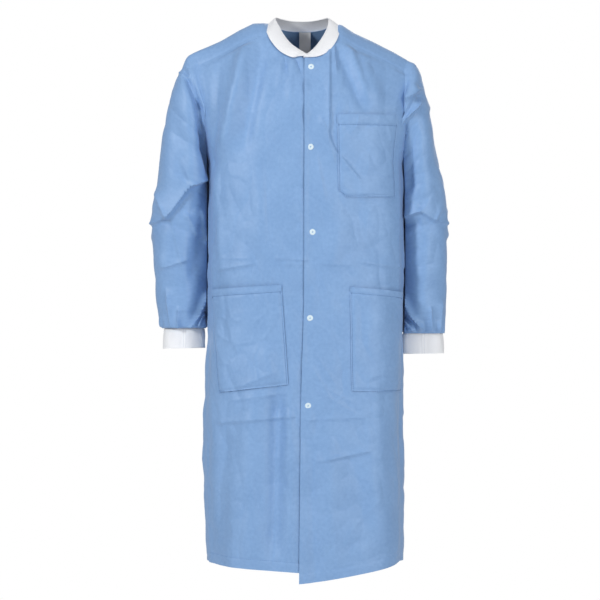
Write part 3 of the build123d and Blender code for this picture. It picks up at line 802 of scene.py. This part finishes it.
def sleeve(side):
    """One sleeve, from the armhole to the cuff, as a closed grid."""
    sign = 1 if side == "left" else -1
    ring = armhole(sign)
    table = np.array(SLEEVE_LINES[side], float)
    rows = 300
    share = np.linspace(0, 1, rows)
    # smooth the drawn lines between their points
    lines = (soft_line(share, table[:, 0], table[:, k]) for k in range(1, 7))
    outer_x, outer_z, inner_x, inner_z, half_depth, middle_y = lines
    turn = np.linspace(0, 2 * math.pi, SLEEVE_COLUMNS, endpoint=False)
    squarish = 2.3
    c = np.sign(np.cos(turn)) * np.abs(np.cos(turn)) ** (2 / squarish)
    s = np.sign(np.sin(turn)) * np.abs(np.sin(turn)) ** (2 / squarish)
    x = ((outer_x + inner_x) / 2)[:, None] + ((outer_x - inner_x) / 2)[:, None] * c
    z = ((outer_z + inner_z) / 2)[:, None] + ((outer_z - inner_z) / 2)[:, None] * c
    y = middle_y[:, None] - half_depth[:, None] * s
    # the inner side is drawn back behind the body's widest line
    drawn_back = SLEEVE_DRAWN_BACK * (smooth(0.08, 0.25, share) * smooth(1.0, 0.9, share))[:, None]
    y = y + drawn_back * smooth(0.0, -1.0, c)[None]
    grid = np.stack([sign * x, y, z], axis=-1)
    join = smooth(0.10, 0.0, share)[:, None, None]
    grid = grid * (1 - join) + (ring[None] + (grid - grid[:1])) * join
    if sign < 0:
        normal = grid_normals(grid[:, ::-1], closed=True)[:, ::-1]
    else:
        normal = grid_normals(grid, closed=True)
    middle = grid.mean(axis=1, keepdims=True)
    if np.sum((grid - middle) * normal) < 0:
        normal = -normal
    front = smooth(-0.15, 0.35, -normal[..., 1])
    length = share * SLEEVE_LENGTH
    around = turn / (2 * math.pi) * SLEEVE_GIRTH
    u, v = np.broadcast_to(around[None], x.shape), np.broadcast_to(length[:, None], x.shape)
    held = smooth(0, 0.035, share)[:, None] * smooth(1.0, 0.985, share)[:, None]
    seed = 71 if side == "left" else 83
    wrap = np.sin(turn)[None] * 48
    out = np.abs(grid[..., 0])
    lift = SLEEVE_FOLD_STRENGTH * add_folds(out, grid[..., 2], SLEEVE_FOLDS[side]) * front
    lift = lift + 2.0 * field(wrap + 200, v, 55, seed)
    lift = lift + 3.4 * crumple(wrap + np.cos(turn)[None] * 40 + 300, v, 46, seed + 1)
    lift = lift + 1.6 * crumple(np.cos(turn)[None] * 48 + 100, v + wrap, 27, seed + 2)
    # gathers where the sleeve is sewn into the cuff
    gather = smooth(0.87, 0.99, share)[:, None]
    lift = lift + gather * 2.6 * (np.abs(np.sin(turn * 9 + 1.3 * np.sin(turn * 3)))[None] - 0.4)
    lift = lift + (1 - front) * add_folds(out, grid[..., 2], SLEEVE_BACK_FOLDS)
    grid = grid + normal * (lift * held)[..., None]
    # keep clear of the body
    depth = (grid[..., 1] - CENTRE_Y) / np.where(grid[..., 1] < CENTRE_Y, FRONT_DEPTH, BACK_DEPTH)
    half = np.interp(grid[..., 2], SIDE_Z, LEFT_SIDE if sign > 0 else RIGHT_SIDE)
    ring_x = half * np.clip(1 - np.abs(depth) ** SECTION_POWER, 0, 1) ** (1 / SECTION_POWER)
    clear = smooth(UNDERARM_Z + 4, UNDERARM_Z - 12, grid[..., 2])
    grid[..., 0] = sign * np.maximum(np.abs(grid[..., 0]), (ring_x + SLEEVE_CLEARANCE) * clear)
    flat = np.stack([u, -v], axis=-1)
    return grid, flat


def soft_line(at, places, values):
    """A smooth line through drawn points."""
    fine = np.linspace(0, 1, 401)
    line = np.interp(fine, places, values)
    kernel = np.hanning(41)
    kernel /= kernel.sum()
    padded = np.concatenate([2 * line[0] - line[20:0:-1], line, 2 * line[-1] - line[-2:-22:-1]])
    return np.interp(at, fine, np.convolve(padded, kernel, mode="valid"))


sleeve_points = {}
for side in ("left", "right"):
    sign = 1 if side == "left" else -1
    grid, flat = sleeve(side)
    sleeve_points[side] = grid
    cut = int(SPLIT_SHARE * len(grid))
    if sign < 0:
        grid, flat = grid[:, ::-1], flat[:, ::-1]
    upper = sheet_mesh(f"{side}_sleeve_above", grid[: cut + 1], flat[: cut + 1], CLOTH_THICKNESS, closed=True)
    finish_piece(upper, SPUNBOND)
    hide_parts(f"{side}_sleeve_cap", f"{side}_sleeve_upper")
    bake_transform(upper)
    lower = sheet_mesh(f"{side}_sleeve_below", grid[cut:], flat[cut:], CLOTH_THICKNESS, closed=True)
    finish_piece(lower, SPUNBOND)
    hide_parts(f"{side}_sleeve_lower")
    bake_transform(lower)

# ---- knitted collar and cuffs

# the collar's seam and its top edge, from the middle of the back round to each front's edge
COLLAR_SEAM = {
    "right": ((0, 58, -9), (-30, 54.5, -7), (-55, 39, -2), (-70, 13, 3), (-73, -12, 0), (-70, -32, -10),
              (-62.5, -48, -27),
              (-44, -62, -49), (-20.5, -69, -61), (-8, -70.5, -58.5), (6, -70, -58)),
    "left": ((0, 58, -9), (30, 54.5, -7), (57, 39, -2), (73, 13, 3), (77, -12, -1), (74, -32, -13), (67.5, -47, -30),
             (52.5, -60, -49), (32.5, -69, -59), (14, -74, -60), (3, -75.5, -60)),
}
COLLAR_TOP = {
    "right": ((0, 46, 18), (-22, 42, 19), (-40, 30, 21.5), (-50.5, 12, 23), (-51, -6, 16), (-46, -20, 3),
              (-37, -34, -15),
              (-22, -48, -34), (-3, -61, -48), (8, -66, -54.5), (13, -68, -57)),
    "left": ((0, 46, 18), (22, 42, 19), (40, 30, 21.5), (50, 12, 22), (52, -6, 15), (51, -17, 1), (42, -34, -19),
             (29, -51, -38), (18, -63, -49.5), (9, -71.5, -56.5), (4, -75, -59)),
}


def rounded_line(points, count):
    """A smooth line through points, evenly spaced."""
    points = np.array(points, float)
    n = len(points)
    padded = np.concatenate([[2 * points[0] - points[1]], points, [2 * points[-1] - points[-2]]])
    dense = []
    for i in range(n - 1):
        p0, p1, p2, p3 = padded[i : i + 4]
        t = np.linspace(0, 1, 24, endpoint=False)[:, None]
        square, cube = 2 * p0 - 5 * p1 + 4 * p2 - p3, 3 * p1 - p0 - 3 * p2 + p3
        dense.append(0.5 * (2 * p1 + (p2 - p0) * t + square * t**2 + cube * t**3))
    dense.append(points[-1:])
    return resample(np.concatenate(dense), count)


def collar():
    """The knitted band: one strip from the right front's edge round the neck to the left front's edge."""
    half = 90
    grids = []
    for side in ("right", "left"):
        seam, top = np.array(COLLAR_SEAM[side], float), np.array(COLLAR_TOP[side], float)
        for k in range(4, len(seam)):  # from the neck's side to the front, it lies on the cloth
            x, _, z = seam[k]
            shift = (body(place_at(x, z), z)[1] - 1.0 - seam[k, 1]) * min((k - 4) / 2, 1)
            seam[k, 1] += shift
            top[k, 1] += shift
        grids.append((rounded_line(seam, half), rounded_line(top, half)))
    seam = np.concatenate([grids[0][0][::-1], grids[1][0][1:]])
    top = np.concatenate([grids[0][1][::-1], grids[1][1][1:]])
    rows = 16
    share = np.linspace(0, 1, rows)[:, None, None]
    grid = seam[None] * (1 - share) + top[None] * share
    normal = grid_normals(grid)
    away = grid - np.array([0.0, -5.0, 0.0])
    if np.sum(away * normal) < 0:
        normal = -normal
    puff = 2.2 * np.sin(share[..., 0] * math.pi) ** 0.7 + 1.6
    spread = np.linspace(0, 480, grid.shape[1])[None] + 0 * share[..., 0]
    wobble = 0.7 * field(spread, share[..., 0] * 20, 40, 91)
    grid = grid + normal * (puff + wobble)[..., None]
    along = distance_along(seam)
    up = np.broadcast_to(share[..., 0] * 25, grid.shape[:2])
    flat = np.stack([np.broadcast_to(along[None], grid.shape[:2]), up], axis=-1)
    return grid, flat


grid, flat = collar()
neckband = sheet_mesh("collar", grid, flat, KNIT_THICKNESS)
finish_piece(neckband, RIB)
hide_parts("collar_rib")
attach(neckband, "torso")


def cuff(side):
    """A knitted cuff: a flattened tube that grips the end of the sleeve."""
    sign = 1 if side == "left" else -1
    top, bottom, middle = (-604, -652, 244) if side == "left" else (-594, -641, 238)
    turn = np.linspace(0, 2 * math.pi, 140, endpoint=False)
    rows = 22
    share = np.linspace(0, 1, rows)[:, None]
    z = top + (bottom - top) * share
    half_width = 40.5 + 2.2 * share + 0.8 * np.sin(share * math.pi)
    half_depth = 22.5 + 1.5 * share
    grip = 1 - 0.13 * smooth(0.22, 0.0, share)
    x = middle + half_width * grip * np.sign(np.cos(turn)) * np.abs(np.cos(turn)) ** 0.85
    y = 22 - half_depth * grip * np.sign(np.sin(turn)) * np.abs(np.sin(turn)) ** 0.85
    z = z + 0.9 * field(turn * 20, turn * 3, 12, 97)[None] - (1.2 * (x - middle) / 40 if side == "right" else 0)
    x = x + 0.8 * field(turn * 30 + z * 0.3, z, 18, 99)
    grid = np.stack([sign * x, y + 0 * x, z + 0 * x], axis=-1)
    if sign < 0:
        grid = grid[:, ::-1]
    around = np.broadcast_to((turn / (2 * math.pi) * 210)[None], x.shape)
    flat = np.stack([around, np.broadcast_to(share * 45, x.shape)], axis=-1)
    return grid, flat


for side in ("left", "right"):
    grid, flat = cuff(side)
    knit = sheet_mesh(f"{side}_cuff", grid, flat, KNIT_THICKNESS, closed=True)
    finish_piece(knit, RIB)
    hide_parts(f"{side}_cuff_rib")
    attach(knit, f"{side}_forearm")

# ---- laying pieces on the folded cloth


def surface_tree(points):
    """A search tree of a grid's faces, for finding the folded surface."""
    rows, columns = points.shape[:2]
    corners = np.arange(rows * columns).reshape(rows, columns)
    return BVHTree.FromPolygons(points.reshape(-1, 3).tolist(), quads(corners).tolist())


TREES = {"left": surface_tree(left_front_points), "right": surface_tree(right_front_points)}


SEARCH_FROM, SEARCH_DEPTH = 30.0, 70.0  # the folded cloth is looked for from this far outside, this far in


def smooth_normal(place, z):
    """The unfolded surface's outward normal."""
    across = body(place + 1.0, z) - body(place - 1.0, z)
    down = body(place, z - 1.0) - body(place, z + 1.0)
    normal = np.cross(across, down)
    normal = normal / np.linalg.norm(normal, axis=-1, keepdims=True)
    return np.where(normal[..., 1:2] > 0, -normal, normal)


def lay(tree, place, z, lift):
    """Points on the folded cloth, raised by lift; place is measured round the ring, negative on the right."""
    base, normal = body(place, z), smooth_normal(place, z)
    found = np.array(base)
    for index in np.ndindex(base.shape[:-1]):
        start, aim = Vector(base[index] + normal[index] * SEARCH_FROM), Vector(-normal[index])
        hit = TREES[tree].ray_cast(start, aim, SEARCH_DEPTH)[0]
        if hit is not None:
            found[index] = hit
    return found + normal * np.broadcast_to(np.asarray(lift), base.shape[:-1])[..., None]


def follow_front(piece, side, seen_z):
    """Makes a piece move with its front: it stays with the torso up high, and turns with the skirt lower down."""
    if seen_z[0] > SWING_TOP:
        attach(piece, "torso")
    elif seen_z[1] < SWING_END:
        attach(piece, f"{side}_front")
    else:
        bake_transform(piece)


# ---- pockets


POCKET_TURN_X = 176.0  # beyond it the body's side turns away, and x is measured on round the ring
SEAM_INSET = 3.0  # how far the stitching lies inside a sewn edge


def pocket(name, side, corners, cut, hem, belly, seed):
    """A patch pocket. Corners are (x, z): top inner, top outer, bottom outer, bottom inner, and an outer x beyond
    the body's side is measured on round the ring. cut is how much of the inner bottom corner is cut off."""
    sign = 1 if side == "left" else -1
    places = []
    for x, z in corners:
        beyond = max(abs(x) - POCKET_TURN_X, 0.0)
        place = place_at(sign * min(abs(x), POCKET_TURN_X), z)
        places.append((place + sign * beyond, z))
    (p0, z0), (p1, z1), (p2, z2), (p3, z3) = places
    rows, columns = 104, 76
    a, b = np.meshgrid(np.linspace(0, 1, columns), np.linspace(0, 1, rows))
    place = (1 - b) * ((1 - a) * p0 + a * p1) + b * ((1 - a) * p3 + a * p2)
    z = (1 - b) * ((1 - a) * z0 + a * z1) + b * ((1 - a) * z3 + a * z2)
    width, height = abs(p1 - p0), abs(z0 - z3)
    if cut:
        z = z + cut * smooth(cut * 1.2 / width, 0.0, a) * smooth(0.75, 1.0, b)
    edge = np.minimum(np.minimum(a, 1 - a) * width, (1 - b) * height)
    from_top = b * height
    lift = CLOTH_THICKNESS + 0.9 + 0.9 * smooth(3.0, 9.0, edge)
    mouth = smooth(0.5, 0.0, b) * np.sin(a * math.pi) ** 0.7
    lift = lift + belly * mouth + 0.25 * belly * np.sin(a * math.pi) * np.sin(b * math.pi)
    u, v = a * width, -from_top
    lift = lift + smooth(0, 14, edge) * (0.8 * field(u + 30, v, 34, seed) + 0.9 * creases(u + 70, v, 40, seed + 1))
    # the hem at the top is folded in and stitched down
    lift = lift + 0.45 * smooth(hem + 1.5, hem - 1.5, from_top) - 1.3 * np.exp(-(((from_top - hem) / 2.2) ** 2))
    # a line of stitching just inside the sewn edges draws the cloth down
    lift = lift - 0.8 * np.exp(-(((edge - 3.0) / 1.8) ** 2)) * smooth(0, 4, from_top)
    grid = lay(side, place, z, lift)
    if sign < 0:
        grid, a = grid[:, ::-1], a[:, ::-1]
    flat = np.stack([a * width + seed * 100, v], axis=-1)
    piece = sheet_mesh(name + "_cloth", grid, flat, CLOTH_THICKNESS)
    finish_piece(piece, SPUNBOND)
    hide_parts(name)
    top = max(z0, z1)
    follow_front(piece, side, (min(z2, z3), top))
    seam = [(p0, z0), (p3, z3 + cut), (p3 + sign * cut * 1.2, z3), (p2, z2), (p1, z1)]
    stitches(f"{name}_seam", side, seam, CLOTH_THICKNESS + 1.2, inset=SEAM_INSET)
    hem_seam = [(p0 + sign * SEAM_INSET, z0 - hem), (p1 - sign * SEAM_INSET, z1 - hem)]
    stitches(f"{name}_hem_seam", side, hem_seam, CLOTH_THICKNESS + 1.1, over=piece)


# real thread is 0.25 mm across; it is drawn thicker so that it still shows
STITCH_LENGTH, STITCH_GAP, THREAD_RADIUS = 3.2, 0.8, 0.38
# along one stitch: how far, how thick for its radius, and how high over the cloth
STITCH_SHAPE = ((0.0, 0.3, -0.35), (0.18, 0.9, -0.05), (0.5, 1.0, 0.05), (0.82, 0.9, -0.05), (1.0, 0.3, -0.35))


def stitches(name, side, corners, lift, inset=0.0, over=None, thread=None):
    """A line of lock stitches through corners (place, z), on the cloth or on the piece `over`."""
    tree = TREES[side]
    if over is not None:
        mesh = over.data
        faces = [tuple(p.vertices) for p in mesh.polygons]
        tree = BVHTree.FromPolygons([tuple(v.co / MM) for v in mesh.vertices], faces)
    route = []
    for (pa, za), (pb, zb) in zip(corners, corners[1:]):
        steps = max(int(math.hypot(pb - pa, zb - za) / 1.2), 2)
        share = np.linspace(0, 1, steps, endpoint=False)
        route.append(np.stack([pa + (pb - pa) * share, za + (zb - za) * share], axis=-1))
    route.append(np.array([corners[-1]]))
    route = np.concatenate(route)
    if inset:
        middle = route.mean(axis=0)
        route[:, 0] += np.sign(middle[0] - route[:, 0]) * inset
        low = route[:, 1].min()
        route[:, 1] += 3.0 * smooth(3.0, 0.0, route[:, 1] - low)
    base, normal = body(route[:, 0], route[:, 1]), smooth_normal(route[:, 0], route[:, 1])
    line = []
    for point, away in zip(base, normal):
        hit = tree.ray_cast(Vector(point + away * SEARCH_FROM), Vector(-away), SEARCH_DEPTH)[0]
        line.append(np.array(hit) if hit is not None else point)
    line = np.array(line) + normal * (0.12 if over is not None else lift)
    piece = thread_mesh(name, line, normal)
    piece.data.materials.append(thread or THREAD)
    follow_front(piece, side, (route[:, 1].min(), route[:, 1].max()))


def thread_mesh(name, line, normal):
    """Short rounded thread lengths along a line, each dipping into the cloth at both ends."""
    step = distance_along(line)
    count = int(step[-1] / (STITCH_LENGTH + STITCH_GAP))
    points, faces = [], []
    turn = np.linspace(0, 2 * math.pi, 6, endpoint=False)

    def at_distance(values, at):
        """The values this far along the line."""
        return np.array([np.interp(at, step, values[:, i]) for i in range(3)])

    for k in range(count):
        start = k * (STITCH_LENGTH + STITCH_GAP)
        rings = []
        for share, size, dip in STITCH_SHAPE:
            at = start + share * STITCH_LENGTH
            centre, away = at_distance(line, at), at_distance(normal, at)
            ahead = at_distance(line, at + 0.5) - at_distance(line, at - 0.5)
            ahead /= max(np.linalg.norm(ahead), 1e-9)
            aside = np.cross(ahead, away)
            centre = centre + away * dip
            outwards_at = [math.cos(t) * away + math.sin(t) * aside for t in turn]
            rings.append([centre + THREAD_RADIUS * size * out for out in outwards_at])
        base = len(points)
        for ring in rings:
            points.extend(ring)
        for r in range(4):
            for i in range(6):
                j = (i + 1) % 6
                faces.append((base + r * 6 + i, base + r * 6 + j, base + r * 6 + 6 + j, base + r * 6 + 6 + i))
        faces.append(tuple(base + i for i in range(5, -1, -1)))
        faces.append(tuple(base + 24 + i for i in range(6)))
    mesh = bpy.data.meshes.new(name)
    mesh.from_pydata((np.array(points) * MM).tolist(), [], faces)
    mesh.polygons.foreach_set("use_smooth", [True] * len(mesh.polygons))
    return in_scene(name, mesh)


pocket("chest_pocket", "left", [(69, -175), (188, -175), (185, -338), (72, -341)],
       cut=14.0, hem=21.0, belly=2.2, seed=15)
pocket("right_hip_pocket", "right", [(-41, -514), (-182, -524), (-164, -729), (-27, -712)],
       cut=0.0, hem=14.0, belly=3.4, seed=25)
pocket("left_hip_pocket", "left", [(95, -518), (224, -530), (224, -728), (97, -725)],
       cut=0.0, hem=12.0, belly=3.0, seed=35)

# ---- seams sewn in the body

for side, sign in (("left", 1), ("right", -1)):
    edge_hem, side_hem = HEM[side]
    stops = np.linspace(0.01, 0.98, 12)
    edge = -2 if side == "left" else -UNDERLAP_X
    route = [
        (sign * (edge * (1 - q) + SEAM * q), edge_hem + (side_hem - edge_hem) * q ** HEM_CURVE[side] + HEM_DEPTH)
        for q in stops
    ]
    stitches(f"{side}_hem_stitching", side, route, 0.1, thread=PALE_THREAD)
    top = [
        (sign * place_at(x, -60.0), float(ridge_height(np.array(sign * x))) - SHOULDER_SEAM_DROP - 5.0)
        for x in (92, 112, 132, 152, 168)
    ]
    stitches(f"{side}_shoulder_stitching", side, top, 0.1, thread=PALE_THREAD)
edge_route = [(place_at(float(edge_x(z)) + 6.0, z), float(z)) for z in np.linspace(-78, -1095, 40)]
stitches("front_edge_stitching", "left", edge_route, 0.1, thread=PALE_THREAD)

# ---- neck label


def neck_label():
    """A blank satin label that hangs from the collar's seam at the back."""
    rows, columns = 30, 18
    a, b = np.meshgrid(np.linspace(-1, 1, columns), np.linspace(0, 1, rows))
    x = 6.0 + 11.5 * a
    z = -2.0 - 46.0 * b
    y = 47.5 - 1.2 * a**2 + 4.0 * b + 0.8 * np.sin(b * 5.0 + a)
    grid = np.stack([x, y, z], axis=-1)
    flat = np.stack([x, z], axis=-1)
    piece = sheet_mesh("label", grid, flat, 0.35)
    finish_piece(piece, LABEL)
    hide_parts("neck_label")
    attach(piece, "torso")


neck_label()

# ---- snaps


def turned(name, profile, place, axis, segments=48):
    """A round piece from (radius, height) points, set at a place with its heights along an axis."""
    made = bmesh.new()
    axis = Vector(axis).normalized()
    side = axis.orthogonal().normalized()
    other = axis.cross(side)
    rings = []
    for radius, height in profile:
        if radius < 1e-6:
            rings.append([made.verts.new((Vector(place) + axis * height) * MM)])
            continue
        ring = []
        for k in range(segments):
            t = 2 * math.pi * k / segments
            out = (side * math.cos(t) + other * math.sin(t)) * radius
            ring.append(made.verts.new((Vector(place) + axis * height + out) * MM))
        rings.append(ring)
    for low, high in zip(rings, rings[1:]):
        for k in range(segments):
            j = (k + 1) % segments
            quad = [low[k % len(low)], low[j % len(low)], high[j % len(high)], high[k % len(high)]]
            corners = list(dict.fromkeys(quad))
            if len(corners) > 2:
                made.faces.new(corners)
    bmesh.ops.recalc_face_normals(made, faces=made.faces)
    mesh = bpy.data.meshes.new(name)
    made.to_mesh(mesh)
    made.free()
    mesh.polygons.foreach_set("use_smooth", [True] * len(mesh.polygons))
    mesh.set_sharp_from_angle(angle=math.radians(50))
    return in_scene(name, mesh)


CAP_PROFILE = (  # a low dome with a rounded rim and a small dimple, its flat back on the cloth
    (0.0, 0.0), (5.6, 0.0), (5.95, 0.12), (6.1, 0.4), (6.05, 0.75), (5.7, 1.1), (5.0, 1.32), (3.4, 1.5), (1.9, 1.58),
    (1.7, 1.5), (1.5, 0.95), (1.3, 0.6), (0.0, 0.5),
)
SOCKET_PROFILE = (
    (0.0, -0.2), (4.6, -0.2), (4.9, -0.5), (4.9, -1.3), (4.4, -1.7), (3.4, -1.95), (2.7, -1.9), (2.5, -1.6),
    (2.5, -0.9), (0.0, -0.9),
)
STUD_PROFILE = (
    (0.0, 0.0), (4.5, 0.0), (4.7, 0.2), (4.5, 0.5), (2.1, 0.55), (1.8, 0.9), (1.95, 1.3), (1.6, 1.55), (0.0, 1.6),
)

for number, (z, x) in enumerate(SNAP_X):
    place = place_at(x, z)
    away = smooth_normal(np.array(place), np.array(float(z)))
    outer = lay("left", np.array(place), np.array(float(z)), 0.0)
    behind_it = lay("right", np.array(place), np.array(float(z)), 0.0)
    node_name = f"snap_upper_{number + 1}" if number < UPPER_SNAPS else f"snap_lower_{number - UPPER_SNAPS + 1}"
    parts = (
        ("cap", CAP_PROFILE, outer + away * 0.05, away, "left"),
        ("socket", SOCKET_PROFILE, outer - away * (CLOTH_THICKNESS - 0.1), away, "left"),
        ("stud", STUD_PROFILE, behind_it, away, "right"),
        ("back_cap", CAP_PROFILE, behind_it - away * (CLOTH_THICKNESS + 0.02), -away, "right"),
    )
    for kind, profile, centre, axis, side in parts:
        piece = turned(f"{node_name}_{kind}_moulded", profile, centre, axis)
        finish_piece(piece, SNAP)
        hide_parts(f"{node_name}_{kind}")
        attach(piece, "torso" if number < UPPER_SNAPS else f"{side}_front")

# ---- light, floor and camera


MIDDLE = (0.0, 0.0, -0.55)


def area_light(name, place, size, watts):
    """A soft white rectangular light that faces the coat's middle."""
    light = bpy.data.lights.new(name, "AREA")
    light.shape = "RECTANGLE"
    light.size, light.size_y = size
    light.energy = watts
    lamp = in_scene(name, light)
    lamp.location = place
    lamp.rotation_euler = (Vector(MIDDLE) - Vector(place)).to_track_quat("-Z", "Y").to_euler()


area_light("key", (-2.9, -2.7, 1.1), (0.5, 0.6), 86)
area_light("fill", (2.4, -3.1, 0.1), (1.0, 1.4), 57)
area_light("top", (0.0, -1.4, 1.8), (1.4, 0.8), 12)
area_light("back", (0.4, 2.6, 0.6), (2.0, 2.0), 30)

world = bpy.data.worlds.new("soft studio")
world.use_nodes = True
sky = world.node_tree
sky.nodes.clear()
dim = node(sky, "ShaderNodeBackground", {"Color": linear("#ffffff"), "Strength": 0.32})
bright = node(sky, "ShaderNodeBackground", {"Color": linear("#ffffff"), "Strength": 1.0})
seen = node(sky, "ShaderNodeLightPath").outputs["Is Camera Ray"]
both = node(sky, "ShaderNodeMixShader", i0=seen, i1=dim.outputs[0], i2=bright.outputs[0])
node(sky, "ShaderNodeOutputWorld", i0=both.outputs[0])
bpy.context.scene.world = world

FLOOR_Z, FLOOR_HALF = -1.55, 3.0
paper, _, shader = new_material("white studio paper")
shader.inputs["Base Color"].default_value = linear("#f4f5f6")
shader.inputs["Roughness"].default_value = 0.9
mesh = bpy.data.meshes.new("floor")
corners = [(x * FLOOR_HALF, y * FLOOR_HALF, FLOOR_Z) for x, y in ((-1, -1), (1, -1), (1, 1), (-1, 1))]
mesh.from_pydata(corners, [], [(0, 1, 2, 3)])
mesh.materials.append(paper)
floor = in_scene("floor", mesh)

camera = bpy.data.cameras.new("camera")
camera.sensor_width = 36
camera.lens = 238.5
camera.dof.use_dof = False
viewpoint = in_scene("camera", camera)
viewpoint.location = (-0.004, -8.0, -0.544)
viewpoint.rotation_euler = (math.radians(90), 0, 0)
bpy.context.scene.camera = viewpoint
bpy.context.scene.view_settings.view_transform = "Standard"
